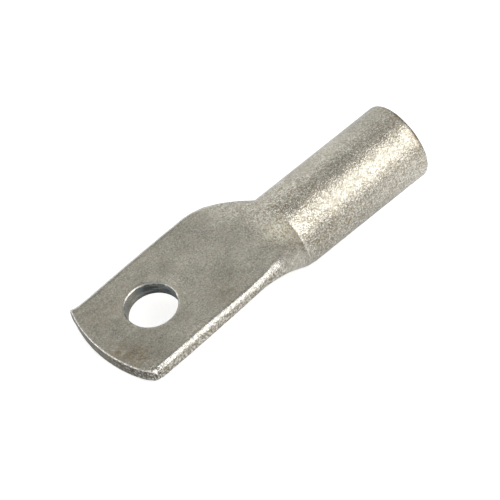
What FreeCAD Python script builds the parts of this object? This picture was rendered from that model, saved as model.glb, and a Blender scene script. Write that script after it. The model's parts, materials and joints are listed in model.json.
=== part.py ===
# A tinned copper cable lug, pressed from one length of tube.
#
# One end of the tube stays round and takes the stripped conductor. The other
# end is pressed flat into a palm, punched for a stud and sheared to an arc.
# Between the two, the section runs over from round to flat with the middle of
# the wall keeping its length, as tube does when it is pressed.
#
# The lug is drawn along its tube first: x runs along the barrel towards the
# mouth, x = 0 is the edge that the pressing die left, and z points to the
# side that lies against a terminal. It is then laid down as it rests on a
# table, on the tip of the palm and the underside of the barrel.
import FreeCAD, Part
import math
import os

from FreeCAD import Vector

# Tube
TUBE_DIAMETER = 16.6
TUBE_WALL = 1.6
BARREL_LENGTH = 32.4        # from the die's edge to the mouth
MOUTH_ROUNDING = 1.0        # outer edge of the mouth
MOUTH_BEVEL = 0.35          # inner edge of the mouth, for the strands

# Pressed neck between the barrel and the palm
NECK_LENGTH = 15.0
NECK_FULLNESS = 1.95        # how early the neck gives up its height
ROUND_CORNER = 60.0         # half angle of a side arc at the die's edge, degrees
DIE_MARK = 0.15             # step that the die's edge leaves on the outside
DIE_MARK_RUN = 6.0          # the step fades out over this length
SEAM_START = 0.16           # height at which the bore has closed

# Palm
PALM_LENGTH = 45.8          # from the die's edge to the middle of the tip
PALM_RISE = 0.17            # the palm starts this much above the barrel
PALM_DROOP = 3.8            # degrees that the palm falls off towards its tip
PALM_SPREAD = 0.2           # extra half width at the tip
PALM_BELLY = 0.2            # extra half width halfway along
TIP_RADIUS = 28.2
TIP_LEAN = 0.2              # the sheared face is set back this much below
LEFT_CORNER_DRAW = 0.75     # the shear drew the +y corner out this much
RIGHT_CORNER_DRAW = 0.1
CORNER_DRAW_RUN = 4.5

# Stud hole
STUD_HOLE_DIAMETER = 10.5
STUD_HOLE_FROM_TIP = 13.9
STUD_HOLE_OFFSET = 0.5      # the hole sits this far off the palm's middle
HOLE_ROLL = 0.4             # edge drawn in by the punch
HOLE_BREAK = 0.15           # edge broken on the way out

# Line where the two pressed walls meet, seen at the tip and in the hole
SEAM_WIDTH = 0.12
SEAM_DEPTH = 0.4

NECK_SECTIONS = 11
SIDE_STEPS = 28             # straight pieces along each side of the palm

TUBE_RADIUS = TUBE_DIAMETER / 2
BORE_RADIUS = TUBE_RADIUS - TUBE_WALL
WALL_MIDDLE = TUBE_RADIUS - TUBE_WALL / 2
PALM_THICKNESS = 2 * TUBE_WALL
PALM_TOP = TUBE_RADIUS + PALM_RISE
PALM_SLOPE = math.tan(math.radians(PALM_DROOP))


def pressed_section(mid_height, corner):
    """Corner arc's centre and radius, on the middle of the wall.

    The wall's middle is an oval of two side arcs and two flatter arcs that
    run into each other. mid_height is half its height and corner is half the
    angle of a side arc. Its length round is that of the tube.
    """
    quarter = math.pi / 2 * WALL_MIDDLE
    rest = math.pi / 2 - corner
    lean = math.tan(rest / 2)
    if rest < 1e-6:
        centre = quarter - math.pi / 2 * mid_height
    else:
        centre = (quarter - math.pi / 2 * mid_height) / (rest / math.cos(corner) - math.pi / 2 * lean)
    return centre, mid_height - centre * lean


def oval(x, middle, centre, radius, corner):
    """Closed wire of two side arcs and an upper and a lower arc or line."""
    edge_y = centre + radius * math.cos(corner)
    edge_z = radius * math.sin(corner)
    crown = radius + centre * math.tan((math.pi / 2 - corner) / 2)

    def point(y, z):
        return Vector(x, y, middle + z)

    right = Part.Arc(point(edge_y, -edge_z), point(centre + radius, 0), point(edge_y, edge_z))
    left = Part.Arc(point(-edge_y, edge_z), point(-centre - radius, 0), point(-edge_y, -edge_z))
    if crown - edge_z < 1e-4:
        upper = Part.LineSegment(point(edge_y, edge_z), point(-edge_y, edge_z))
        lower = Part.LineSegment(point(-edge_y, -edge_z), point(edge_y, -edge_z))
    else:
        upper = Part.Arc(point(edge_y, edge_z), point(0, crown), point(-edge_y, edge_z))
        lower = Part.Arc(point(-edge_y, -edge_z), point(0, -crown), point(edge_y, -edge_z))
    return Part.Wire([right.toShape(), upper.toShape(), left.toShape(), lower.toShape()])


def neck_station(share):
    """x, height of the upper face, half height and corner angle in the neck.

    share runs from 0 at the die's edge to 1 where the palm starts.
    """
    left = 1 - share
    flattening = 1 - left ** NECK_FULLNESS
    half_height = TUBE_RADIUS + (TUBE_WALL - TUBE_RADIUS) * flattening
    drop = PALM_SLOPE * NECK_LENGTH
    upper_face = PALM_TOP + drop * left - (PALM_RISE + drop) * left ** 2
    corner = math.radians(ROUND_CORNER + (90 - ROUND_CORNER) * flattening)
    return -NECK_LENGTH * share, upper_face, half_height, corner


def neck_outside(share):
    x, upper_face, half_height, corner = neck_station(share)
    centre, radius = pressed_section(half_height - TUBE_WALL / 2, corner)
    mark = DIE_MARK * max(0.0, 1 + x / DIE_MARK_RUN)
    return oval(x, upper_face - half_height, centre, radius + TUBE_WALL / 2 - mark, corner)


def neck_inside(share):
    x, upper_face, half_height, corner = neck_station(share)
    centre, radius = pressed_section(half_height - TUBE_WALL / 2, corner)
    inner = max(radius - TUBE_WALL / 2, SEAM_START / 2)
    return oval(x, upper_face - half_height, centre, inner, corner)


def revolved(outline):
    """Solid of revolution about the barrel's axis."""
    return Part.Face(Part.Wire(outline)).revolve(Vector(0, 0, 0), Vector(1, 0, 0), 360)


def line(start, end):
    return Part.LineSegment(start, end).toShape()


def barrel_outside():
    shoulder = Vector(BARREL_LENGTH - MOUTH_ROUNDING, 0, TUBE_RADIUS)
    rim = Vector(BARREL_LENGTH, 0, TUBE_RADIUS - MOUTH_ROUNDING)
    swing = MOUTH_ROUNDING * (1 - math.sqrt(0.5))
    waist = Vector(BARREL_LENGTH - swing, 0, TUBE_RADIUS - swing)
    back = Vector(0, 0, TUBE_RADIUS)
    foot = Vector(BARREL_LENGTH, 0, 0)
    origin = Vector(0, 0, 0)
    return revolved([
        line(origin, back),
        line(back, shoulder),
        Part.Arc(shoulder, waist, rim).toShape(),
        line(rim, foot),
        line(foot, origin),
    ])


def bore():
    back = Vector(0, 0, BORE_RADIUS)
    bevel = Vector(BARREL_LENGTH - MOUTH_BEVEL, 0, BORE_RADIUS)
    rim = Vector(BARREL_LENGTH + MOUTH_BEVEL, 0, BORE_RADIUS + 2 * MOUTH_BEVEL)
    foot = Vector(BARREL_LENGTH + MOUTH_BEVEL, 0, 0)
    origin = Vector(0, 0, 0)
    return revolved([
        line(origin, back),
        line(back, bevel),
        line(bevel, rim),
        line(rim, foot),
        line(foot, origin),
    ])


def closing_share():
    """How far along the neck the bore has narrowed to the seam."""
    open_height = (SEAM_START / 2) / BORE_RADIUS
    return 1 - open_height ** (1 / NECK_FULLNESS)


def palm_side(way, corner_draw):
    """Points along one side of the palm's flat, closer towards the tip.

    The side is a little fuller halfway along, and runs out to the corner
    that the shear drew with it.
    """
    flat_centre = pressed_section(TUBE_WALL / 2, math.pi / 2)[0]
    half_width = flat_centre + TUBE_WALL
    corner = PALM_LENGTH - TIP_RADIUS + math.sqrt(TIP_RADIUS ** 2 - half_width ** 2)
    draw_start = corner - CORNER_DRAW_RUN
    run = PALM_LENGTH + PALM_THICKNESS / 4 - NECK_LENGTH
    points = []
    for number in range(SIDE_STEPS + 1):
        along = NECK_LENGTH + run * (1 - (1 - number / SIDE_STEPS) ** 1.8)
        share = (along - NECK_LENGTH) / (PALM_LENGTH - NECK_LENGTH)
        belly = PALM_BELLY * 4 * share * (1 - share)
        drawn = corner_draw * max(0, (along - draw_start) / CORNER_DRAW_RUN) ** 2
        out = flat_centre + PALM_SPREAD * share + belly + drawn
        height = PALM_TOP - PALM_SLOPE * (along - NECK_LENGTH)
        points.append(Vector(-along, way * out, height))
    return points


def palm_blank():
    """The flat end before it is sheared.

    A slab with flat faces carries a half-round roll along each side, where
    the tube's wall turns back on itself.
    """
    left = palm_side(1, LEFT_CORNER_DRAW)
    right = palm_side(-1, RIGHT_CORNER_DRAW)
    outline = left + right[::-1] + left[:1]
    slab = Part.Face(Part.makePolygon(outline)).extrude(Vector(0, 0, -PALM_THICKNESS))
    rolls = []
    for points, way in ((left, 1), (right, -1)):
        rounds = [half_round(point, way) for point in points]
        rolls.append(Part.makeLoft(rounds, True, True))
    return slab.fuse(rolls)


def half_round(top, way):
    """Closed wire of half a circle below a point, bulging sideways."""
    bottom = top - Vector(0, 0, PALM_THICKNESS)
    outermost = top + Vector(0, way * PALM_THICKNESS / 2, -PALM_THICKNESS / 2)
    return Part.Wire([Part.Arc(top, outermost, bottom).toShape(), line(bottom, top)])


def on_palm(shape):
    """Moves a shape from flat coordinates onto the palm.

    In flat coordinates x is along the palm from where it starts, towards the
    mouth, and z = 0 is the contact face.
    """
    placed = shape.copy()
    placed.rotate(Vector(0, 0, 0), Vector(0, 1, 0), -PALM_DROOP)
    placed.translate(Vector(-NECK_LENGTH, 0, PALM_TOP))
    return placed


def along_palm(distance):
    """Distance on the palm's own slope, from where the palm starts."""
    return (distance - NECK_LENGTH) / math.cos(math.radians(PALM_DROOP))


def tip_shear():
    """Everything that the shear leaves: a cone about the arc's centre."""
    reach = PALM_THICKNESS
    lean = TIP_LEAN / PALM_THICKNESS
    tip = along_palm(PALM_LENGTH)
    wide = TIP_RADIUS + lean * reach
    narrow = TIP_RADIUS - lean * 2 * reach
    cone = Part.makeCone(narrow, wide, 3 * reach, Vector(TIP_RADIUS - tip, 0, -2 * reach))
    return on_palm(cone)


def hole_centre():
    return Vector(STUD_HOLE_FROM_TIP - along_palm(PALM_LENGTH), STUD_HOLE_OFFSET, 0)


def stud_hole():
    """The punch's hole: rolled edge above, straight wall, broken edge below."""
    radius = STUD_HOLE_DIAMETER / 2
    top = PALM_THICKNESS / 2
    bottom = -PALM_THICKNESS
    clear = PALM_THICKNESS
    swing = HOLE_ROLL * (1 - math.sqrt(0.5))
    wall_top = Vector(radius, 0, -HOLE_ROLL)
    roll = Vector(radius + swing, 0, -swing)
    roll_top = Vector(radius + HOLE_ROLL, 0, 0)
    above = Vector(radius + HOLE_ROLL, 0, top)
    wall_bottom = Vector(radius, 0, bottom + HOLE_BREAK)
    below = Vector(radius + clear + HOLE_BREAK, 0, bottom - clear)
    axis_top = Vector(0, 0, top)
    axis_bottom = Vector(0, 0, bottom - clear)
    outline = [
        line(axis_bottom, below),
        line(below, wall_bottom),
        line(wall_bottom, wall_top),
        Part.Arc(wall_top, roll, roll_top).toShape(),
        line(roll_top, above),
        line(above, axis_top),
        line(axis_top, axis_bottom),
    ]
    punch = Part.Face(Part.Wire(outline)).revolve(Vector(0, 0, 0), Vector(0, 0, 1), 360)
    punch.translate(hole_centre())
    return on_palm(punch)


def seam_lines():
    """Fine grooves where the two walls meet, at the tip and in the hole."""
    flat_centre = pressed_section(TUBE_WALL / 2, math.pi / 2)[0]
    low = -(PALM_THICKNESS + SEAM_WIDTH) / 2
    radius = STUD_HOLE_DIAMETER / 2 + SEAM_DEPTH
    ring = Part.makeCylinder(radius, SEAM_WIDTH, hole_centre() + Vector(0, 0, low))
    tip = along_palm(PALM_LENGTH)
    strip_length = TIP_RADIUS / 2
    strip = Part.makeBox(strip_length, 2 * flat_centre, SEAM_WIDTH,
                         Vector(-tip - 1, -flat_centre, low))
    kept_radius = TIP_RADIUS - TIP_LEAN / 2 - SEAM_DEPTH
    kept = Part.makeCylinder(kept_radius, 3 * SEAM_WIDTH, Vector(TIP_RADIUS - tip, 0, low - SEAM_WIDTH))
    return on_palm(ring), on_palm(strip.cut(kept))


def drawn_lug():
    shares = [(number / (NECK_SECTIONS - 1)) ** 1.5 for number in range(NECK_SECTIONS)]
    neck = Part.makeLoft([neck_outside(share) for share in shares], True, False)
    end = closing_share()
    cavity = Part.makeLoft([neck_inside(share * end) for share in shares], True, False)
    palm = palm_blank().common(tip_shear())
    solid = barrel_outside().fuse([neck, palm])
    solid = solid.cut(bore().fuse(cavity))
    solid = solid.cut(stud_hole())
    for groove in seam_lines():
        solid = solid.cut(groove)
    return solid.removeSplitter()


def rest_angle():
    """Degrees of tilt when the tip and the barrel both touch the table."""
    droop = math.radians(PALM_DROOP)
    reach = along_palm(PALM_LENGTH) - TIP_LEAN
    below = PALM_THICKNESS * math.cos(droop)
    tip_x = NECK_LENGTH + reach * math.cos(droop) - below * math.sin(droop)
    tip_z = PALM_TOP - reach * math.sin(droop) - below * math.cos(droop)
    return math.degrees(math.atan2(tip_z + TUBE_RADIUS, tip_x))


def laid_down(solid):
    solid.rotate(Vector(0, 0, 0), Vector(0, 1, 0), -rest_angle())
    box = solid.optimalBoundingBox(False, False)
    solid.translate(Vector(-box.Center.x, -box.Center.y, -box.ZMin))
    return solid


os.makedirs("parts", exist_ok=True)
cable_lug = laid_down(drawn_lug())
if cable_lug.ShapeType == "Compound":
    cable_lug = cable_lug.Solids[0]
cable_lug.exportStep("parts/cable_lug.step")
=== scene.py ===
import json
import math

import bmesh
import bpy
from mathutils import Matrix, Vector, noise


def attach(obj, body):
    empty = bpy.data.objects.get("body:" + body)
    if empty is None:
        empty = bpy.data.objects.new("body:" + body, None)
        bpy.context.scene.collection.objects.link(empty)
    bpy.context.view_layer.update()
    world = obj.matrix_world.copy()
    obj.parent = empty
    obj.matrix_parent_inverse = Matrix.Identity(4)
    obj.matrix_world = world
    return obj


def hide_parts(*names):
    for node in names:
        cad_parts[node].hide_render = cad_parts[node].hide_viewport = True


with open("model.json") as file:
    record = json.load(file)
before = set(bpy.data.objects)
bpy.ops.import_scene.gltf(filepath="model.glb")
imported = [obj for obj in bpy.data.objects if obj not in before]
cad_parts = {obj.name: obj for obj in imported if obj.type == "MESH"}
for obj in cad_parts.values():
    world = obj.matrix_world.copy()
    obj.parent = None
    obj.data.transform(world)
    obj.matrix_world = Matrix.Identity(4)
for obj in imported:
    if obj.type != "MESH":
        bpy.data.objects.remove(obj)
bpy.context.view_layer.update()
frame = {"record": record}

# A tinned cable lug, made from one length of tube. Lengths are in
# millimetres along the tube, x = 0 at the die's edge and z towards the
# contact face, until the lug is laid on the table. The -y side is the one
# that faces the camera.

MM = 0.001

TUBE_RADIUS = 8.3
TUBE_WALL = 1.6
BORE_RADIUS = TUBE_RADIUS - TUBE_WALL
WALL_MIDDLE = TUBE_RADIUS - TUBE_WALL / 2
BARREL_LENGTH = 32.4
MOUTH_ROUNDING = 1.0
MOUTH_BEVEL = 0.35

NECK_LENGTH = 15.0
NECK_FULLNESS = 1.95
ROUND_CORNER = math.radians(60)
SEAM_START = 0.16

# The step that the die's edge leaves, from below round the -y side to the
# top, in degrees up, and the heel below, in cosines of the way round
DIE_MARK = 0.15
DIE_MARK_RUN = 6.0
DIE_MARK_START = (-150, -90)
DIE_MARK_END = (58, 84)
HEEL_REACH = 3.0
HEEL_START = (-0.35, 0.25)
HEEL_STEPS = 8

PALM_LENGTH = 45.8
PALM_THICKNESS = 2 * TUBE_WALL
PALM_TOP = TUBE_RADIUS + 0.17
PALM_ANGLE = math.radians(3.8)
PALM_SLOPE = math.tan(PALM_ANGLE)
PALM_SPREAD = 0.2
PALM_BELLY = 0.2
TIP_RADIUS = 28.2
TIP_BEND = (0.45, 1.0)
TIP_LEAN = 0.1
TIP_LEAN_RUN = (0.8, 1.0)
TIP_EDGE = 0.42
LOWER_EDGE_SHARPNESS = 0.6
LEFT_CORNER_DRAW = 0.66
RIGHT_CORNER_DRAW = 0.1
CORNER_DRAW_RUN = 4.5
SEAM_DEPTH = 0.4
CLOSED_SEAM = 0.05
SEAM_LIP = 0.06

HOLE_RADIUS = 5.25
HOLE_FROM_TIP = 13.9
HOLE_OFFSET = 0.5
HOLE_ROLL = 0.4
HOLE_BREAK = 0.15
HOLE_TAPER = 0.06
HOLE_DRIFT = (-0.25, 0.32)
HOLE_DRIFT_REACH = (1.5, 4.0)

# The dies press the palm's sides full, so that its flat ends in an edge
FULL_EDGE = math.radians(68)
FULL_RUN = (6.0, 12.0)

# The skin's mesh: cells round the tube and their size along it
ROUND = 200
CELL = 2 * math.pi * WALL_MIDDLE / ROUND
BORE_CELL = 0.8
DIE_EDGE_CELL = 0.12
TIP_CELL = 0.2
HOLE_WALL_CELL = 0.25
EDGE_STEPS = 6
ROLL_STEPS = 5
HOLE_CELLS = 19
HOLE_BLEND_CELLS = 33
EVEN_CELLS = 36
EDGE_CELL = 41
EDGE_NEAR = 0.1
ARC_CROWDING = 1.25
NEARLY_NONE = 1e-5


def smooth(value, low, high):
    """0 below low, 1 above high, and a smooth step between."""
    share = min(1.0, max(0.0, (value - low) / (high - low)))
    return share * share * (3 - 2 * share)


def spaced(start, end, step):
    """Even places from start to just before end, about a step apart."""
    count = max(1, round(abs(end - start) / step))
    return [start + (end - start) * number / count for number in range(count)]


# The pressed section


def quarter_way(share):
    """Quadrant of a share of the way round, and the way to the side in it."""
    turn = (share * 4) % 4
    quadrant = int(turn)
    way = turn - quadrant
    if quadrant % 2:
        way = 1 - way
    return quadrant, way


def in_quadrant(quadrant, y, z):
    """A point of the first quadrant, mirrored into this one."""
    if quadrant in (2, 3):
        y = -y
    if quadrant in (1, 2):
        z = -z
    return y, z


def pressed_section(mid_height, corner):
    """Centre and radius of the side arc, on the middle of the wall."""
    quarter = math.pi / 2 * WALL_MIDDLE
    rest = math.pi / 2 - corner
    lean = math.tan(rest / 2)
    if rest < NEARLY_NONE:
        centre = quarter - math.pi / 2 * mid_height
    else:
        centre = (quarter - math.pi / 2 * mid_height) / (rest / math.cos(corner) - math.pi / 2 * lean)
    return centre, mid_height - centre * lean


def section_point(share, half_height, corner, offset):
    """y and z at a share of the way round the pressed section.

    share runs from 0 at the top towards +y, offset is the distance out from
    the wall's middle. A crowned arc runs on from the side's arc, or a flat
    where the corner is a full quarter.
    """
    quadrant, way = quarter_way(share)
    centre, radius = pressed_section(half_height - TUBE_WALL / 2, corner)
    length = way * math.pi / 2 * WALL_MIDDLE
    rest = math.pi / 2 - corner
    if rest < NEARLY_NONE:
        crown, crown_length = None, centre
    else:
        crown = radius + centre / math.cos(corner)
        crown_length = crown * rest
    if length > crown_length:
        angle = corner - (length - crown_length) / radius
        y = centre + (radius + offset) * math.cos(angle)
        z = (radius + offset) * math.sin(angle)
    elif crown is None:
        y, z = length, radius + offset
    else:
        angle = math.pi / 2 - length / crown
        y = (crown + offset) * math.cos(angle)
        z = (crown + offset) * math.sin(angle) - centre * math.tan(corner)
    return in_quadrant(quadrant, y, z)


def full_point(share, half_height, corner, offset):
    """The same where the dies have pressed the section's sides full.

    Cells are even as far as the hole's surroundings reach, and closer on
    the side's arc than on the flat beside it.
    """
    quadrant, way = quarter_way(share)
    centre, radius = pressed_section(half_height - TUBE_WALL / 2, corner)
    top = radius + offset + centre * math.tan((math.pi / 2 - corner) / 2)
    full_radius = top / math.sin(FULL_EDGE)
    full_centre = centre + radius + offset - full_radius
    edge = full_centre + full_radius * math.cos(FULL_EDGE)
    cell = way * ROUND / 4
    if cell <= EVEN_CELLS:
        y, z = cell * CELL, top
    elif cell <= EDGE_CELL - 1:
        y = EVEN_CELLS * CELL
        y += (edge - EDGE_NEAR - y) * (cell - EVEN_CELLS) / (EDGE_CELL - 1 - EVEN_CELLS)
        z = top
    elif cell <= EDGE_CELL:
        y = edge - EDGE_NEAR * (EDGE_CELL - cell)
        z = top
    else:
        left = (ROUND / 4 - cell) / (ROUND / 4 - EDGE_CELL)
        angle = FULL_EDGE * (1 - (1 - left) ** ARC_CROWDING)
        y = full_centre + full_radius * math.cos(angle)
        z = full_radius * math.sin(angle)
    return in_quadrant(quadrant, y, z)


def neck_station(x):
    """Height of the upper face, half height and corner angle in the neck."""
    left = 1 + x / NECK_LENGTH
    flattening = 1 - left ** NECK_FULLNESS
    half_height = TUBE_RADIUS + (TUBE_WALL - TUBE_RADIUS) * flattening
    drop = PALM_SLOPE * NECK_LENGTH
    rise = PALM_TOP - TUBE_RADIUS
    upper_face = PALM_TOP + drop * left - (rise + drop) * left ** 2
    corner = ROUND_CORNER + (math.pi / 2 - ROUND_CORNER) * flattening
    return upper_face, half_height, corner


def neck_closing():
    """x at which the bore has narrowed to the seam."""
    open_share = (SEAM_START / 2) / BORE_RADIUS
    return -NECK_LENGTH * (1 - open_share ** (1 / NECK_FULLNESS))


# Stations along the skin, from the seam at the tip round to the bore's end.
# Each is a kind and the numbers that its ring needs.


def rounded_edge(radius):
    """Steps of a quarter round, each how far it stops short and how far in."""
    turns = [math.pi / 2 * number / EDGE_STEPS for number in range(EDGE_STEPS + 1)]
    return [(radius * (1 - math.sin(turn)), radius * (1 - math.cos(turn))) for turn in turns]


def stations():
    """The tip's face, the palm, neck and barrel outside, and the bore."""
    lip = CLOSED_SEAM / 2
    half = PALM_THICKNESS / 2
    made = [("tip", 0.0, 0.0, SEAM_DEPTH), ("tip", lip, 0.0, SEAM_DEPTH), ("tip", lip, 0.0, 0.0)]
    made += [("tip", depth, 0.0, 0.0) for depth in spaced(lip + SEAM_LIP, half - TIP_EDGE, TIP_CELL)]
    made += [("tip", half - short, inward, 0.0) for short, inward in rounded_edge(TIP_EDGE)]
    made += [("palm", along) for along in spaced(PALM_LENGTH - TIP_EDGE, NECK_LENGTH, CELL)[1:]]
    made += [("neck", x) for x in spaced(-NECK_LENGTH, -DIE_EDGE_CELL, CELL) + [-DIE_EDGE_CELL]]
    barrel_end = BARREL_LENGTH - MOUTH_ROUNDING
    made += [("barrel", x, 0.0) for x in [0.0] + spaced(DIE_EDGE_CELL, barrel_end, CELL)]
    made += [("barrel", BARREL_LENGTH - short, inward) for short, inward in rounded_edge(MOUTH_ROUNDING)]
    made.append(("barrel", BARREL_LENGTH, TUBE_WALL - MOUTH_BEVEL))
    made += [("bore", x) for x in spaced(BARREL_LENGTH - MOUTH_BEVEL, 0.0, BORE_CELL)]
    end = neck_closing()
    made += [("cavity", x) for x in spaced(0.0, end, BORE_CELL / 2) + [end]]
    made.append(("close", end))
    return made


def arc_back(y):
    """How far the tip's arc falls back beside its middle."""
    return TIP_RADIUS - math.sqrt(TIP_RADIUS ** 2 - y * y)


FLAT = pressed_section(TUBE_WALL / 2, math.pi / 2)[0]
DRAW_START = PALM_LENGTH - arc_back(FLAT + TUBE_WALL) - CORNER_DRAW_RUN


def side_growth(along, way):
    """Extra half width of the palm on its +y or its -y side."""
    share = (along - NECK_LENGTH) / (PALM_LENGTH - NECK_LENGTH)
    draw = LEFT_CORNER_DRAW if way > 0 else RIGHT_CORNER_DRAW
    drawn = draw * max(0.0, (along - DRAW_START) / CORNER_DRAW_RUN) ** 2
    return PALM_SPREAD * share + PALM_BELLY * 4 * share * (1 - share) + drawn


def palm_point(share, along, depth, inward):
    """Point on the palm's skin.

    depth is the distance out from the palm's middle plane, along is measured
    on the middle line, and the stations bend to the tip's arc towards it.
    """
    y, z = full_point(share, TUBE_WALL, math.pi / 2, TUBE_WALL / 2)
    side = math.copysign(min(abs(y), FLAT), y)
    reach = (along - NECK_LENGTH) / (PALM_LENGTH - NECK_LENGTH)
    bending = smooth(reach, *TIP_BEND)
    round_y = (y - side) * depth / (PALM_THICKNESS / 2)
    round_z = z * depth / (PALM_THICKNESS / 2)
    here = along
    for _ in range(3):
        whole_y = side * (1 + side_growth(here, side) / FLAT) + round_y
        here = along - bending * arc_back(whole_y)
    below = 0.5 - round_z / PALM_THICKNESS
    upright = PALM_THICKNESS * math.sin(PALM_ANGLE)
    lean = (TIP_LEAN + upright) * smooth(reach, *TIP_LEAN_RUN) * below
    sharper = 1 - LOWER_EDGE_SHARPNESS * smooth(below, 0.45, 0.6)
    x = -here + lean + inward * sharper
    top = PALM_TOP + PALM_SLOPE * (-here + NECK_LENGTH)
    return Vector((x, whole_y, top - PALM_THICKNESS / 2 + round_z))


def outside_point(x, share):
    """Point on the outside of the barrel or the neck, ends left out."""
    if x >= 0:
        turn = 2 * math.pi * share
        return Vector((x, TUBE_RADIUS * math.sin(turn), TUBE_RADIUS * math.cos(turn)))
    upper_face, half_height, corner = neck_station(x)
    angle = (270 + 360 * share) % 360 - 180
    sharp = smooth(angle, *DIE_MARK_START) * (1 - smooth(angle, *DIE_MARK_END))
    mark = DIE_MARK * sharp * max(0.0, 1 + x / DIE_MARK_RUN)
    y, z = section_point(share, half_height, corner, TUBE_WALL / 2 - mark)
    full = smooth(-x, *FULL_RUN)
    if full > 0:
        full_y, full_z = full_point(share, half_height, corner, TUBE_WALL / 2)
        y += (full_y - y) * full
        z += (full_z - z) * full
    return Vector((x, y, upper_face - half_height + z))


def heel_point(x, share):
    """The same with the die's edge rounded over below, as the die left it."""
    point = outside_point(x, share)
    below = smooth(-math.cos(2 * math.pi * share), *HEEL_START)
    if below == 0 or abs(x) >= HEEL_REACH:
        return point
    mean = Vector()
    for number in range(HEEL_STEPS + 1):
        weight = 0.5 if number in (0, HEEL_STEPS) else 1.0
        beside = x + HEEL_REACH * (2 * number / HEEL_STEPS - 1)
        mean += outside_point(beside, share) * weight / HEEL_STEPS
    mean.x = x
    return point.lerp(mean, below)


def skin_point(station, share):
    """Point of a station's ring at a share of the way round."""
    kind = station[0]
    if kind == "tip":
        depth, back, inward = station[1:]
        return palm_point(share, PALM_LENGTH, depth, back + inward)
    if kind == "palm":
        return palm_point(share, station[1], PALM_THICKNESS / 2, 0.0)
    x = station[1]
    if kind == "barrel":
        point = heel_point(x, share)
        narrowing = 1 - station[2] / TUBE_RADIUS
        return Vector((x, point.y * narrowing, point.z * narrowing))
    if kind == "neck":
        return heel_point(x, share)
    if kind == "bore":
        turn = 2 * math.pi * share
        return Vector((x, BORE_RADIUS * math.sin(turn), BORE_RADIUS * math.cos(turn)))
    upper_face, half_height, corner = neck_station(x)
    y, z = section_point(share, half_height, corner, -TUBE_WALL / 2)
    if kind == "close":
        z = 0.0
    return Vector((x, y, upper_face - half_height + z))


# The palm's own plane, for the stud hole

PALM_ALONG = Vector((math.cos(PALM_ANGLE), 0, math.sin(PALM_ANGLE)))
PALM_ACROSS = Vector((0, 1, 0))
PALM_NORMAL = Vector((-math.sin(PALM_ANGLE), 0, math.cos(PALM_ANGLE)))
PALM_START = Vector((-NECK_LENGTH, 0, PALM_TOP))
TIP_DISTANCE = (PALM_LENGTH - NECK_LENGTH) / math.cos(PALM_ANGLE)
HOLE_CENTRE = PALM_START + PALM_ALONG * (HOLE_FROM_TIP - TIP_DISTANCE) + PALM_ACROSS * HOLE_OFFSET


def on_hole(radius, turn, depth):
    """Point on a circle round the hole, depth below the contact face.

    The punch has dragged the upper face along a little.
    """
    dragged = 1 - depth / PALM_THICKNESS
    dragged *= 1 - smooth(radius - HOLE_RADIUS, *HOLE_DRIFT_REACH)
    along = radius * math.cos(turn) + HOLE_DRIFT[0] * dragged
    across = radius * math.sin(turn) + HOLE_DRIFT[1] * dragged
    return HOLE_CENTRE + PALM_ALONG * along + PALM_ACROSS * across - PALM_NORMAL * depth


def square_angle(along, across):
    """Direction of a cell on a square ring, with equal steps of angle."""
    if abs(along) >= abs(across):
        base = 0.0 if along > 0 else math.pi
        return base + math.pi / 4 * across / along
    base = math.pi / 2 if across > 0 else -math.pi / 2
    return base - math.pi / 4 * along / across


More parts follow.
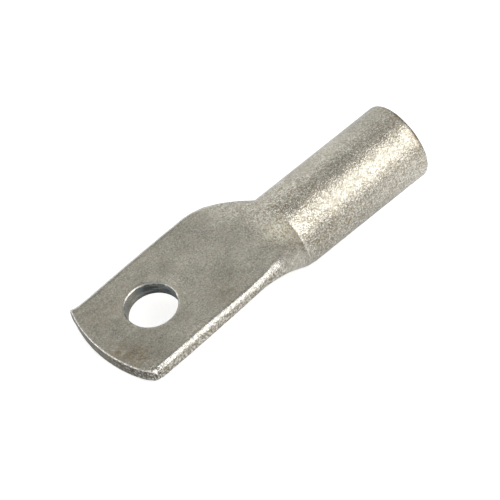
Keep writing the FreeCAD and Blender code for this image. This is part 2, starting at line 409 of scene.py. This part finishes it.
class Skin:
    """The lug's whole skin as one sheet, rolled up and pressed to shape."""

    def __init__(self):
        self.stations = stations()
        self.mesh = bmesh.new()
        last = len(self.stations) - 1
        bmesh.ops.create_grid(self.mesh, x_segments=last, y_segments=ROUND, size=1.0)
        self.cell = {}
        for vert in self.mesh.verts:
            along = round((vert.co.x + 1) / 2 * last)
            across = round((vert.co.y + 1) / 2 * ROUND)
            self.cell[along, across] = vert
        self.hole_station = self.nearest_station(HOLE_CENTRE.x)
        self.press()
        self.cut_hole()
        bmesh.ops.remove_doubles(self.mesh, verts=self.mesh.verts, dist=1e-4)
        bmesh.ops.dissolve_degenerate(self.mesh, dist=1e-5, edges=self.mesh.edges)
        bmesh.ops.recalc_face_normals(self.mesh, faces=self.mesh.faces)

    def nearest_station(self, x):
        palm = [number for number, station in enumerate(self.stations) if station[0] == "palm"]
        return min(palm, key=lambda number: abs(self.stations[number][1] + x))

    def press(self):
        for (along, across), vert in self.cell.items():
            vert.co = skin_point(self.stations[along], across / ROUND + 0.25)

    def ring_cell(self, along, across, face):
        """Cell number of a place beside the hole, on one face of the palm.

        along counts towards the mouth and across towards +y.
        """
        step = round(HOLE_OFFSET / CELL) + across
        column = ROUND // 4 - step if face == "lower" else ROUND * 3 // 4 + step
        return self.hole_station + along, column

    def cut_hole(self):
        """Turns square rings of cells round, and opens both faces."""
        rims = {}
        reach = range(-HOLE_BLEND_CELLS, HOLE_BLEND_CELLS + 1)
        for face in ("upper", "lower"):
            depth = 0.0 if face == "upper" else PALM_THICKNESS
            rim = HOLE_RADIUS + (HOLE_ROLL if face == "upper" else HOLE_BREAK)
            inside = []
            rims[face] = []
            for along in reach:
                for across in reach:
                    ring = max(abs(along), abs(across))
                    vert = self.cell[self.ring_cell(along, across, face)]
                    if ring < HOLE_CELLS:
                        inside.append(vert)
                        continue
                    turn = square_angle(along, across)
                    radius = rim + (ring - HOLE_CELLS) * CELL
                    target = on_hole(radius, turn, depth)
                    blend = smooth(ring, HOLE_CELLS, HOLE_BLEND_CELLS)
                    vert.co = target.lerp(vert.co, blend)
                    if ring == HOLE_CELLS:
                        rims[face].append(vert)
            bmesh.ops.delete(self.mesh, geom=inside, context="VERTS")
        self.wall(rims["upper"])

    def wall(self, rim_verts):
        """Runs the hole's wall down from the upper rim to the lower one."""
        rim = set(rim_verts)
        edges = [edge for edge in self.mesh.edges if edge.is_boundary and set(edge.verts) <= rim]
        last_depth = 0.0
        for radius, depth in self.wall_profile():
            made = bmesh.ops.extrude_edge_only(self.mesh, edges=edges)["geom"]
            edges = [item for item in made if isinstance(item, bmesh.types.BMEdge)]
            dragged = 1 - last_depth / PALM_THICKNESS
            for vert in {vert for edge in edges for vert in edge.verts}:
                away = vert.co - HOLE_CENTRE
                along = away.dot(PALM_ALONG) - HOLE_DRIFT[0] * dragged
                across = away.dot(PALM_ACROSS) - HOLE_DRIFT[1] * dragged
                vert.co = on_hole(radius, math.atan2(across, along), depth)
            last_depth = depth

    def wall_profile(self):
        """Radius and depth of each ring down the hole's wall.

        Rings stand closer where the tube's two walls meet.
        """
        wall = HOLE_RADIUS - HOLE_TAPER
        profile = []
        for number in range(1, ROLL_STEPS + 1):
            turn = math.pi / 2 * number / ROLL_STEPS
            profile.append((
                wall + (HOLE_TAPER + HOLE_ROLL) * (1 - math.sin(turn)),
                HOLE_ROLL * (1 - math.cos(turn)),
            ))
        middle = PALM_THICKNESS / 2
        end = PALM_THICKNESS - HOLE_BREAK
        depths = spaced(HOLE_ROLL, middle - SEAM_LIP, HOLE_WALL_CELL)[1:]
        depths += [middle - SEAM_LIP, middle]
        depths += spaced(middle + SEAM_LIP, end, HOLE_WALL_CELL) + [end]
        profile += [(wall, depth) for depth in depths]
        profile.append((HOLE_RADIUS + HOLE_BREAK, PALM_THICKNESS))
        return profile


# Laying the lug on the table, by the barrel's bore in the frame

mounts = {mount["name"]: mount for mount in frame["record"]["mounts"]}
barrel_mount = mounts["conductor_barrel"]
barrel_axis = Vector(barrel_mount["axis"]).normalized()
barrel_start = Vector(barrel_mount["pos_m"]) - barrel_axis * barrel_mount["dims"]["length_mm"] * MM / 2
barrel_tilt = math.asin(barrel_axis.z)
LAID_DOWN = Matrix.Translation(barrel_start) @ Matrix.Rotation(-barrel_tilt, 4, "Y") @ Matrix.Scale(MM, 4)


def finished_object(name, mesh):
    data = bpy.data.meshes.new(name)
    mesh.to_mesh(data)
    mesh.free()
    data.polygons.foreach_set("use_smooth", [True] * len(data.polygons))
    piece = bpy.data.objects.new(name, data)
    bpy.context.scene.collection.objects.link(piece)
    return piece


# Wear that has moved the skin near the tip. Only places beyond TIP_ZONE
# belong to the tip.

TIP_ZONE = -38

SIDE_DRAFT = 0.38
SIDE_DRAFT_START = (17, 31)
SIDE_DRAFT_END = (40.5, 43.5)
SIDE_DRAFT_ACROSS = (8.8, 10.9)
SIDE_DRAFT_DEPTH = (0.4 * PALM_THICKNESS, 0.78 * PALM_THICKNESS)

CRUSHED_CORNER = Vector((-43.2, -12.1, 0))
CRUSH_WAY = Vector((0.65, 0.76, 0.25))
CRUSH = 0.42
CRUSH_REACH = 2.0
TORN_CENTRE = (-42.9, -11.6, 5.0)
TORN_REACH = 3.4
TORN_DEPTH = 0.2

BLUNT_CORNER = Vector((-41.9, 12.3, 0))
BLUNT_OUT = 0.3
BLUNT_OUT_REACH = 1.5
BLUNT_BACK = 0.4
BLUNT_BACK_WAY = Vector((0.62, -0.78, 0))
BLUNT_BACK_REACH = 1.1


def below_top(place):
    """Depth of a place of the palm below its contact face."""
    return PALM_TOP + PALM_SLOPE * (place.x + NECK_LENGTH) - place.z


def beside(place, corner):
    """Distance of a place from an upright line through a corner."""
    return math.hypot(place.x - corner.x, place.y - corner.y)


def drafted(place):
    """The -y side near the tip, whose upper edge the dies have set inwards."""
    if place.y > -SIDE_DRAFT_ACROSS[0] or place.x > -SIDE_DRAFT_START[0]:
        return place
    share = smooth(-place.x, *SIDE_DRAFT_START) * (1 - 0.4 * smooth(-place.x, *SIDE_DRAFT_END))
    share *= smooth(-place.y, *SIDE_DRAFT_ACROSS) * (1 - smooth(below_top(place), *SIDE_DRAFT_DEPTH))
    return place + Vector((0, SIDE_DRAFT * share, 0))


def crushed(place):
    """The -y corner of the tip, knocked in and most of all below."""
    distance = beside(place, CRUSHED_CORNER)
    if place.x > TIP_ZONE or distance > 3 * CRUSH_REACH:
        return place
    below = min(1.0, max(0.0, below_top(place) / PALM_THICKNESS))
    share = math.exp(-(distance / CRUSH_REACH) ** 2) * (0.45 + 0.55 * below)
    return place + CRUSH_WAY * CRUSH * share


def blunted(place):
    """The +y corner of the tip, which stands out squarely below its top."""
    if place.x > TIP_ZONE or place.y < 8:
        return place
    distance = beside(place, BLUNT_CORNER)
    depth = below_top(place)
    out = math.exp(-(distance / BLUNT_OUT_REACH) ** 2) * smooth(depth, 0.2, 1.3)
    back = math.exp(-(distance / BLUNT_BACK_REACH) ** 2) * (1 - smooth(depth, 0.0, 1.1))
    return place - Vector((1, 0, 0)) * BLUNT_OUT * out + BLUNT_BACK_WAY * BLUNT_BACK * back


# Marks on the skin. A span is two values between which a mark comes or
# goes, and a band is its middle and its width. Round the barrel they
# are degrees up from level on the -y side. A patch is a strength, a centre
# and a size.

BARREL_ZONE = -2
HOLE_ZONE = HOLE_RADIUS + HOLE_ROLL + 0.6

UNDERSIDE_SPAN = (-28, -13)
LOW_SIDE_SPAN = (20, 34)
FAR_SIDE_SPAN = (84, 112)
# Bands of painted dark reflection round the barrel, below and above its highlight, and the band that the
# highlight lies in
LOW_DARK_REFLECTION_BAND = (24, 7)
HIGHLIGHT_BAND = (50, 14)
UPPER_DARK_REFLECTION_BAND = (72, 8)

DARKEST_SHADE = 4.6

BROWN_PATCHES = (
    (0.6, (-44.0, -2.4, 6.5), 2.4),
    (0.7, (-42.2, -6.4, 6.6), 2.6),
    (0.35, (-21.0, -8.0, 8.0), 3.5),
    (0.25, (-40.5, 7.0, 6.8), 3.0),
    (0.25, (-37.2, 7.7, 7.0), 1.8),
    (0.3, (8.0, 4.0, 7.4), 4.0),
    (0.25, (-2.0, 3.5, 7.6), 3.5),
)
DARK_PATCHES = (
    (0.7, (-9.5, 1.0, 8.8), 3.0),
    (1.2, (-23.8, 5.4, 8.0), 1.7),
    (0.6, (-19.0, 6.0, 8.2), 1.6),
    (0.6, (-12.5, 7.0, 8.6), 2.2),
    (0.7, (-18.0, -4.5, 8.3), 2.2),
    (0.7, (-20.5, -8.0, 8.1), 2.0),
    (0.8, (-37.5, -9.0, 7.0), 3.2),
    (0.5, (-29.0, -6.5, 7.6), 2.0),
    (0.8, (-42.0, -4.5, 6.7), 3.2),
    (0.5, (-36.8, -3.0, 7.0), 2.6),
    (0.7, (-28.5, 8.0, 7.7), 2.6),
)
PALE_PATCHES = (
    (1.0, (-21.0, 3.0, 8.1), 1.8),
    (0.9, (-17.5, 1.0, 8.3), 2.4),
    (0.8, (-10.0, 5.0, 8.8), 1.9),
    (0.6, (-25.5, 2.0, 7.8), 2.2),
    (0.7, (-4.0, -2.5, 7.5), 4.5),
)
CHIPPED_PATCHES = (
    (0.25, (-44.0, -2.5, 6.5), 1.6),
    (0.25, (-42.2, -6.4, 6.6), 2.0),
)
CRUSHED_PATCH = (1.8, (-42.9, -11.8, 5.8), 2.0)
# A tan film by the die's edge, lightened as a painted highlight
FILM_AND_HIGHLIGHT_PATCH = (1.2, (-3.2, -4.4, 6.9), 3.0)


def grown(place, size, seed):
    """Smooth noise from about -1 to 1 with features of this size in mm."""
    return noise.noise(place / size + Vector((seed, seed / 2, 0)))


def band(value, middle, width):
    """1 at the middle of a band and falling off on both sides."""
    return math.exp(-((value - middle) / width) ** 2)


def patch(place, strength, centre, size):
    """The strength at the patch's centre, falling off round it."""
    return strength * math.exp(-((place - Vector(centre)).length / size) ** 2)


def patches(place, rows):
    return sum(patch(place, *row) for row in rows)


class Spot:
    """A place on the skin, with the measures that its marks are set by."""

    def __init__(self, place, normal):
        self.place = place
        self.normal = normal
        self.depth = below_top(place)
        self.turn = math.degrees(math.atan2(place.z, -place.y))
        self.flat = normal.dot(PALM_NORMAL)
        out_of_hole = place - HOLE_CENTRE
        from_hole = (out_of_hole - PALM_NORMAL * out_of_hole.dot(PALM_NORMAL)).length
        self.by_hole = from_hole < HOLE_ZONE
        self.at_tip = place.x < TIP_ZONE
        self.roll = smooth(abs(normal.y), 0.2, 0.5) * smooth(-place.x, 5.5, 9)


def base_grain(spot):
    """Full on the barrel, pressed smoother on the palm but not on its sides."""
    x = spot.place.x
    grain = 1 - 0.7 * smooth(-x, 0.5, 12.5)
    if x > BARREL_ZONE:
        grain -= 0.45 * smooth(spot.turn, *FAR_SIDE_SPAN)
        grain -= 0.3 * smooth(x, 2, 12) * band(spot.turn, *HIGHLIGHT_BAND)
        grain += 0.6 * (1 - smooth(x, 9, 20)) * (1 - smooth(spot.turn, *LOW_SIDE_SPAN))
        grain += 0.4 * (1 - smooth(x, 4, 12)) * smooth(spot.turn, 66, 80)
    return max(grain, 0.85 * spot.roll)


def stains(spot):
    """Copper showing brown through the tin, by the mouth and in patches."""
    place = spot.place
    mouth = smooth(place.x, BARREL_LENGTH - 1.6, BARREL_LENGTH - 0.5)
    mouth = max(mouth, 0.25 * smooth(place.x, BARREL_LENGTH - 5.0, BARREL_LENGTH - 0.5))
    stain = mouth * max(0.0, 0.6 + 1.1 * grown(place, 1.5, 21.0)) * smooth(spot.turn, -30, 30)
    low_side = 0.2 * spot.roll * (1 - smooth(spot.normal.z, -0.1, 0.45))
    return stain + patches(place, BROWN_PATCHES) + low_side


def clouds_and_painted_light(spot):
    """Darker and, below 0, paler clouds in the tin, with a line by each side, and painted shade and
    highlight on the barrel.
    """
    x = spot.place.x
    tone_shift = patches(spot.place, DARK_PATCHES) - patches(spot.place, PALE_PATCHES)
    tone_shift += 0.5 * smooth(-x, 32, 42)
    tone_shift += 1.2 * smooth(abs(spot.place.y), 10.6, 11.2) * smooth(spot.flat, 0.9, 0.99)
    if x > BARREL_ZONE:
        tone_shift += barrel_painted_light(x, spot.turn)
    return tone_shift


def barrel_painted_light(x, turn):
    """Painted shade and painted highlight, in bands round the barrel and stretches along it."""
    # Painted shade on the low side by the neck, and painted dark reflections below and above the highlight
    tone_shift = 0.45 * (1 - smooth(x, 0, 24)) * (1 - smooth(turn, *LOW_SIDE_SPAN))
    tone_shift += (0.9 - 0.4 * smooth(x, 12, 26)) * band(turn, *LOW_DARK_REFLECTION_BAND)
    tone_shift += 0.9 * (1 - smooth(x, 2, 10)) * band(turn, *UPPER_DARK_REFLECTION_BAND)
    # Painted shadow along the underside
    tone_shift += 1.1 * (1 - smooth(turn, *UNDERSIDE_SPAN))
    # Painted shade and light on the far and low sides, and the highlight painted brighter towards the mouth
    tone_shift += 0.4 * smooth(x, 19, 27) * smooth(turn, 84, 100)
    tone_shift -= 0.9 * smooth(x, 20, 28) * (1 - smooth(turn, 14, 26))
    tone_shift -= 0.3 * (smooth(x, 10, 24) - 0.5) * band(turn, *HIGHLIGHT_BAND)
    tone_shift -= 0.5 * smooth(x, 4, 12) * (1 - smooth(x, 17, 24)) * smooth(turn, 90, 115)
    return tone_shift


def mark_hole_wall(spot, marks):
    """The punch's cut, with painted shade darkest where the wall faces the tip, and pale streaks."""
    place = spot.place
    streak = noise.noise(Vector((spot.depth * 4, place.x * 0.25, place.y * 0.25 + 61)))
    marks["cut"] = 0.58 + 0.42 * smooth(-spot.normal.x, -0.2, 0.6) - 0.3 * smooth(streak, 0.1, 0.45)
    marks["grain"] = 0.12
    marks["chipped"] = 0.0


def mark_hole_rim(spot, marks):
    """Painted glints on the rolled rim, and painted shade between them."""
    glint = smooth(grown(spot.place, 0.9, 47.0), 0.05, 0.35)
    marks["burnish_and_highlight"] = max(marks["burnish_and_highlight"], 0.7 * glint)
    marks["cut"] = 0.86 * (1 - glint)
    marks["grain"] = 0.2


def mark_tip_face(spot, marks):
    """The sheared face, plain towards +y and torn and chipped towards -y."""
    place, depth = spot.place, spot.depth
    rightwards = smooth(-place.y, -5, 8)
    under_burr = smooth(depth, 0.45, 0.6) * (1 - smooth(depth, 0.9, 1.3))
    halfway = smooth(depth, 0.8, 1.1) * (1 - smooth(depth, 1.9, 2.6))
    torn = smooth(grown(place, 1.1, 19.0), -0.5, 0.1)
    # The face is darkened by painted shade, most of all towards -y in a painted shadow under the burr
    shade = 2.7 - 0.2 * rightwards + 0.5 * grown(place, 1.3, 17.0)
    shade += (0.1 + 0.6 * rightwards) * halfway
    shade += 1.8 * under_burr * (0.25 + 0.75 * rightwards) * torn
    marks["shade"] = shade
    marks["chipped"] = 0.04 + 0.51 * smooth(-place.y, -2, 7)
    marks["grain"] = 0.6


def mark_tip_edge(spot, marks):
    """The burr along the tip's upper edge, rubbed bright and with a painted highlight."""
    place, normal = spot.place, spot.normal
    edge = smooth(-normal.x, 0.22, 0.48) * (1 - smooth(-normal.x, 0.9, 0.98)) * smooth(normal.z, 0.1, 0.35)
    edge *= 1 - smooth(spot.depth, 0.7, 1.0)
    bright_stretches = smooth(grown(place, 0.9, 53.0), -0.6, -0.25)
    marks["burnish_and_highlight"] = max(marks["burnish_and_highlight"], 1.7 * edge * bright_stretches)
    marks["shade"] *= 1 - edge
    marks["chipped"] = max(marks["chipped"], edge * (0.25 + 0.4 * smooth(-place.y, -3, 9)))


def mark_mouth(spot, marks):
    """Bare dark metal in places round the mouth's edge."""
    from_mouth = BARREL_LENGTH - spot.place.x
    rim = smooth(from_mouth, 0.1, 0.4) * (1 - smooth(from_mouth, 0.7, 1.2))
    rim *= smooth(spot.turn, 15, 50) * (1 - smooth(spot.turn, 100, 130))
    rim *= smooth(grown(spot.place, 1.3, 23.0), -0.05, 0.25)
    marks["cut"] = max(marks["cut"], 0.74 * rim)


def first_marks(spot):
    """The marks of the plain skin and of the die's burnished edge, with its painted highlight."""
    place, normal = spot.place, spot.normal
    lip = smooth(place.x, -0.3, 0.0) * (1 - smooth(place.x, 0.1, 0.4))
    lip *= smooth(spot.turn, -12, 10) * (1 - smooth(spot.turn, 60, 80))
    return {
        "grain": base_grain(spot),
        "cut": 0.0,
        "film_and_highlight": min(1.0, patch(place, *FILM_AND_HIGHLIGHT_PATCH)) if place.x < 0.05 else 0.0,
        # Burnish on the die's edge and the rolled sides' upper part is partly worn bright and partly a
        # painted highlight
        "burnish_and_highlight": max(0.5 * lip, 0.8 * spot.roll * smooth(normal.z, 0.42, 0.66)),
        "chipped": spot.roll * (0.25 + 0.4 * (1 - smooth(normal.z, 0.3, 0.65))),
        "stain": stains(spot),
        "shade": 0.0,
    }


def surface_marks(place, normal):
    """How strongly each kind of mark shows at a place of the skin."""
    spot = Spot(place, normal)
    marks = first_marks(spot)
    if spot.by_hole and abs(spot.flat) < 0.75:
        mark_hole_wall(spot, marks)
    if spot.at_tip and normal.x < -0.5:
        mark_tip_face(spot, marks)
    if spot.at_tip and abs(spot.depth - PALM_THICKNESS / 2) < 0.03:
        marks["cut"] = max(marks["cut"], 0.35 + 0.22 * smooth(grown(place, 2.2, 59.0), -0.1, 0.35))
    if place.x > 0 and math.hypot(place.y, place.z) < BORE_RADIUS + 0.1:
        marks["grain"] = 0.35
        marks["cut"] = 0.3
    mark_mouth(spot, marks)
    if spot.at_tip:
        mark_tip_edge(spot, marks)
    if spot.by_hole and 0.3 < spot.flat < 0.9:
        mark_hole_rim(spot, marks)
    marks["chipped"] = max(marks["chipped"], patch(place, *CRUSHED_PATCH)) + patches(place, CHIPPED_PATCHES)
    marks["shade"] = min(DARKEST_SHADE, marks["shade"] + clouds_and_painted_light(spot))
    return marks


def relief(place, normal, marks):
    """Distance out of the true surface, nearly all of it inwards."""
    height = marks["grain"] * (0.03 * grown(place, 0.75, 3.1) + 0.03 * grown(place, 2.3, 7.7))
    height += 0.015 * grown(place, 6.0, 13.3) * (1 - marks["cut"])
    height -= 0.03
    if place.x < TIP_ZONE:
        raised = smooth(-normal.x, 0.15, 0.4) * (1 - smooth(-normal.x, 0.7, 0.9))
        height += 0.1 * marks["burnish_and_highlight"] * raised
    torn = patch(place, 1.0, TORN_CENTRE, TORN_REACH)
    if torn > 0.02:
        rough = grown(place, 0.9, 31.0) + 0.6 * grown(place, 0.45, 37.0)
        height -= TORN_DEPTH * torn * max(0.0, rough + 0.2)
    return height


def weather(mesh):
    """Gives the smooth skin its relief and writes its marks on its points."""
    for vert in mesh.verts:
        vert.co = blunted(crushed(drafted(vert.co)))
    mesh.normal_update()
    names = ("grain", "cut", "film_and_highlight", "burnish_and_highlight", "chipped", "stain", "shade")
    uncapped = ("grain", "shade")
    layers = {name: mesh.verts.layers.float.new(name) for name in names}
    moved = {}
    for vert in mesh.verts:
        marks = surface_marks(vert.co, vert.normal)
        for name in names:
            vert[layers[name]] = marks[name] if name in uncapped else min(1.0, marks[name])
        moved[vert] = vert.co + vert.normal * relief(vert.co, vert.normal, marks)
    for vert, place in moved.items():
        vert.co = place


skin = Skin()
weather(skin.mesh)
skin.mesh.transform(LAID_DOWN)
lug = finished_object("pressed_lug", skin.mesh)
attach(lug, "root")
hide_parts("cable_lug")


# Materials


class Value:
    """A shader socket that takes part in Python arithmetic."""

    def __init__(self, material, socket):
        self.material = material
        self.socket = socket

    def __add__(self, other):
        return self.material.maths("ADD", self, other)

    def __radd__(self, other):
        return self.material.maths("ADD", other, self)

    def __sub__(self, other):
        return self.material.maths("SUBTRACT", self, other)

    def __rsub__(self, other):
        return self.material.maths("SUBTRACT", other, self)

    def __mul__(self, other):
        return self.material.maths("MULTIPLY", self, other)

    def __rmul__(self, other):
        return self.material.maths("MULTIPLY", other, self)

    def over(self, low, high):
        """0 below low, 1 above high."""
        return self.material.node(
            "ShaderNodeMapRange", {"interpolation_type": "SMOOTHSTEP"},
            {"Value": self, "From Min": low, "From Max": high})


class Material:
    """A node material with one method that makes any node."""

    def __init__(self, name):
        self.data = bpy.data.materials.new(name)
        self.data.use_nodes = True
        self.tree = self.data.node_tree
        self.shader = self.tree.nodes["Principled BSDF"]

    def node(self, kind, settings=None, inputs=None, output=0):
        made = self.tree.nodes.new(kind)
        for name, value in (settings or {}).items():
            setattr(made, name, value)
        for key, value in (inputs or {}).items():
            self.feed(made.inputs[key], value)
        return Value(self, made.outputs[output])

    def feed(self, socket, value):
        if isinstance(value, Value):
            self.tree.links.new(value.socket, socket)
        else:
            socket.default_value = value

    def surface(self, **inputs):
        for name, value in inputs.items():
            self.feed(self.shader.inputs[name.replace("_", " ")], value)

    def maths(self, operation, first, second):
        return self.node("ShaderNodeMath", {"operation": operation}, {0: first, 1: second})

    def scaled(self, colour, factor):
        return self.node("ShaderNodeVectorMath", {"operation": "SCALE"}, {0: colour, "Scale": factor})

    def mix(self, factor, first, second):
        """Colour that runs from the first to the second."""
        settings = {"data_type": "RGBA", "clamp_factor": True}
        return self.node("ShaderNodeMix", settings, {0: factor, 6: first, 7: second}, 2)

    def mark(self, name):
        return self.node("ShaderNodeAttribute", {"attribute_name": name}, output="Fac")

    def noise(self, size, seed, detail=2.0, stretch=(1, 1, 1), turn=0.0):
        """Noise from 0 to 1 on the piece, with features of this size in mm."""
        place = self.node("ShaderNodeTexCoord", output="Object")
        place = self.node("ShaderNodeMapping", inputs={
            "Vector": place, "Rotation": (0, 0, math.radians(turn)), "Scale": stretch})
        return self.node("ShaderNodeTexNoise", {"noise_dimensions": "4D"}, {
            "Vector": place, "W": seed, "Scale": 1 / (size * MM), "Detail": detail, "Roughness": 0.6})


PALM_TIN = (0.46, 0.436, 0.365, 1)
BARREL_TIN = (0.66, 0.625, 0.54, 1)
TAN_FILM_AND_HIGHLIGHT = (1.0, 0.93, 0.74, 1)
WARM_TIN = (0.48, 0.41, 0.32, 1)
PIT_GREY = (0.34, 0.30, 0.215, 1)
CRACK_BROWN = (0.36, 0.29, 0.18, 1)
CUT_METAL = (0.215, 0.25, 0.26, 1)
CUT_SHADOW = (0.08, 0.09, 0.09, 1)
COPPER_STAIN = (0.30, 0.225, 0.12, 1)
BURNISHED_TIN_AND_HIGHLIGHT = (0.92, 0.90, 0.85, 1)
DENT_DARK = (0.14, 0.125, 0.095, 1)
CHIP_BRIGHT = (0.95, 0.93, 0.88, 1)
WIPING_ANGLE = 35
BUMP_HEIGHT = 0.15 * MM


def tin_material():
    """Dull tin over copper: grainy on the barrel, wiped smoother on the palm."""
    tin = Material("dull_tin")
    grain = tin.mark("grain")
    cut = tin.mark("cut")
    film_and_highlight = tin.mark("film_and_highlight")
    chipped = tin.mark("chipped")
    tone_shift = tin.noise(7.0, 1.0, 3.0)
    blotch = tin.noise(2.4, 2.0, 3.0)
    fine = tin.noise(0.3, 3.0, 2.0)
    medium = tin.noise(1.0, 4.0, 1.0)
    speck = tin.noise(0.45, 5.0, 1.0)
    wiped = tin.noise(0.8, 6.0, 2.0, (0.22, 1, 1), WIPING_ANGLE)
    vein = tin.noise(0.8, 8.0, 2.0) - 0.5
    chips = tin.noise(0.48, 9.0, 2.0)

    colour = tin.mix(grain, PALM_TIN, BARREL_TIN)
    # A tan film by the die's edge, partly a painted highlight
    colour = tin.mix(film_and_highlight * 0.85, colour, TAN_FILM_AND_HIGHLIGHT)
    tone = 0.15 + 0.7 * tone_shift + 0.5 * blotch + 0.5 * wiped
    # The shade mark darkens the tone: clouds in the tin, painted shade and highlight on the barrel, and
    # painted shade on the tip's face
    tone = (tone + (fine - 0.5) * (1.4 + 1.75 * grain)) * (1 - 0.2 * tin.mark("shade"))
    colour = tin.scaled(colour, tone)
    colour = tin.mix(blotch.over(0.45, 0.75) * 0.35, colour, WARM_TIN)
    pits = speck.over(0.52, 0.66) * (0.1 + 0.55 * grain)
    colour = tin.mix(pits, colour, PIT_GREY)
    cracks = (1 - (vein * vein).over(0.0, 0.0016)) * grain * medium.over(0.4, 0.55)
    colour = tin.mix(cracks * 0.55, colour, CRACK_BROWN)
    # Bare cut metal, and above 0.8 painted shadow in the hole and on its rim
    colour = tin.mix(cut.over(0.4, 0.8) * 0.9, colour, CUT_METAL)
    colour = tin.mix(cut.over(0.8, 1.0) * 0.9, colour, CUT_SHADOW)
    stain = tin.mark("stain") * medium.over(0.35, 0.6)
    colour = tin.mix(stain * 0.8, colour, COPPER_STAIN)
    burnish_and_highlight = tin.mark("burnish_and_highlight") * (1 - pits)
    # Burnished tin, partly a painted highlight on the edges and the hole's rim
    colour = tin.mix(burnish_and_highlight * 0.75, colour, BURNISHED_TIN_AND_HIGHLIGHT)
    dents = chips.over(0.5, 0.57) * chipped
    colour = tin.mix(dents * 0.85, colour, DENT_DARK)
    colour = tin.mix((1 - chips.over(0.4, 0.47)) * chipped * 0.8, colour, CHIP_BRIGHT)

    height = (fine * 0.8 + medium * 0.6) * (0.1 + 0.9 * grain) + wiped * 0.1 - dents * 0.5 - cracks * 0.15
    bump = tin.node("ShaderNodeBump", inputs={"Height": height, "Distance": BUMP_HEIGHT, "Strength": 1.0})
    roughness = 0.39 - 0.13 * grain + (blotch - 0.5) * 0.1 + pits * 0.2 + film_and_highlight * 0.2
    roughness = roughness - burnish_and_highlight * 0.06
    tin.surface(Base_Color=colour, Metallic=1.0, Roughness=roughness, Normal=bump)
    return tin.data


lug.data.materials.append(tin_material())


# Camera, at the photo's viewing angle. The barrel's start, on the tube's
# axis, lies at the named pixel of the photo.

CAMERA_AZIMUTH = math.radians(-45.82)
CAMERA_ELEVATION = math.radians(39.49)
CAMERA_ROLL = math.radians(4.59)
CAMERA_DISTANCE = 2.5
SENSOR_WIDTH = 36.0
IMAGE_WIDTH_PIXELS = 500
PIXELS_PER_MM = 5.1794
START_PIXEL_X = 279.63
START_PIXEL_Y = 235.13


def add_camera():
    azimuth, elevation = CAMERA_AZIMUTH, CAMERA_ELEVATION
    back = Vector((
        math.sin(azimuth) * math.cos(elevation),
        -math.cos(azimuth) * math.cos(elevation),
        math.sin(elevation),
    ))
    level = Vector((math.cos(azimuth), math.sin(azimuth), 0))
    upright = back.cross(level)
    right = math.cos(CAMERA_ROLL) * level + math.sin(CAMERA_ROLL) * upright
    up = math.cos(CAMERA_ROLL) * upright - math.sin(CAMERA_ROLL) * level
    middle = IMAGE_WIDTH_PIXELS / 2
    pixel = MM / PIXELS_PER_MM
    aim = barrel_start + right * (middle - START_PIXEL_X) * pixel - up * (middle - START_PIXEL_Y) * pixel
    data = bpy.data.cameras.new("camera")
    data.sensor_width = SENSOR_WIDTH
    data.lens = SENSOR_WIDTH * CAMERA_DISTANCE / (IMAGE_WIDTH_PIXELS * pixel)
    data.clip_start = 0.1
    data.clip_end = 50
    camera = bpy.data.objects.new("camera", data)
    turn = Matrix((right, up, back)).transposed().to_4x4()
    camera.matrix_world = Matrix.Translation(aim + back * CAMERA_DISTANCE) @ turn
    bpy.context.scene.collection.objects.link(camera)
    bpy.context.scene.camera = camera


# Floor and light, in metres

FLOOR_REACH = 3.0
PAPER_WHITE = (0.85, 0.85, 0.85, 1)
PAPER_SEEN = (1, 1, 1, 1)
PAPER_MIRRORED = (0.92, 0.98, 1.1, 1)
GLOW_SEEN = 0.65
GLOW_MIRRORED = 0.15
SKY_LIGHT = 0.37


def add_floor():
    """A pale table that the camera and the metal see as white paper."""
    mesh = bmesh.new()
    bmesh.ops.create_grid(mesh, x_segments=1, y_segments=1, size=FLOOR_REACH)
    floor = finished_object("floor", mesh)
    paper = Material("paper")
    seen = paper.node("ShaderNodeLightPath", output="Is Camera Ray")
    mirrored = paper.node("ShaderNodeLightPath", output="Is Glossy Ray")
    through = paper.node("ShaderNodeLightPath", output="Is Transmission Ray")
    tint = paper.mix(seen, PAPER_MIRRORED, PAPER_SEEN)
    glow = paper.scaled(tint, seen * GLOW_SEEN + (mirrored + through) * GLOW_MIRRORED)
    paper.surface(Base_Color=PAPER_WHITE, Roughness=0.9, Emission_Color=glow, Emission_Strength=1.0)
    floor.data.materials.append(paper.data)


def add_softbox(name, toward, distance, size, radiance, tint=(1, 1, 1)):
    """A square lamp that faces the lug from the given direction."""
    data = bpy.data.lights.new(name, "AREA")
    data.shape = "SQUARE"
    data.size = size
    data.energy = radiance * math.pi * size * size
    data.color = tint
    lamp = bpy.data.objects.new(name, data)
    direction = Vector(toward).normalized()
    lamp.matrix_world = (
        Matrix.Translation(direction * distance)
        @ direction.to_track_quat("Z", "Y").to_matrix().to_4x4()
    )
    bpy.context.scene.collection.objects.link(lamp)


def add_world():
    """White to the camera, and a dimmer sky for everything else."""
    world = bpy.data.worlds.new("studio")
    bpy.context.scene.world = world
    world.use_nodes = True
    background = world.node_tree.nodes["Background"]
    background.inputs["Color"].default_value = (1, 1, 1, 1)
    seen = world.node_tree.nodes.new("ShaderNodeLightPath")
    strength = world.node_tree.nodes.new("ShaderNodeMapRange")
    strength.inputs["To Min"].default_value = SKY_LIGHT
    strength.inputs["To Max"].default_value = 1.0
    world.node_tree.links.new(seen.outputs["Is Camera Ray"], strength.inputs["Value"])
    world.node_tree.links.new(strength.outputs["Result"], background.inputs["Strength"])


add_camera()
add_floor()
add_softbox("key", toward=(0.2175, -0.692, 0.688), distance=0.6, size=0.62, radiance=1.84)
add_softbox("fill", toward=(0.3, 0.83, 0.5), distance=0.8, size=0.85, radiance=0.5, tint=(0.94, 0.98, 1.0))
add_softbox("edge", toward=(-0.76, 0.56, 0.34), distance=0.8, size=0.7, radiance=1.9)
add_world()
bpy.context.scene.view_settings.view_transform = "Standard"
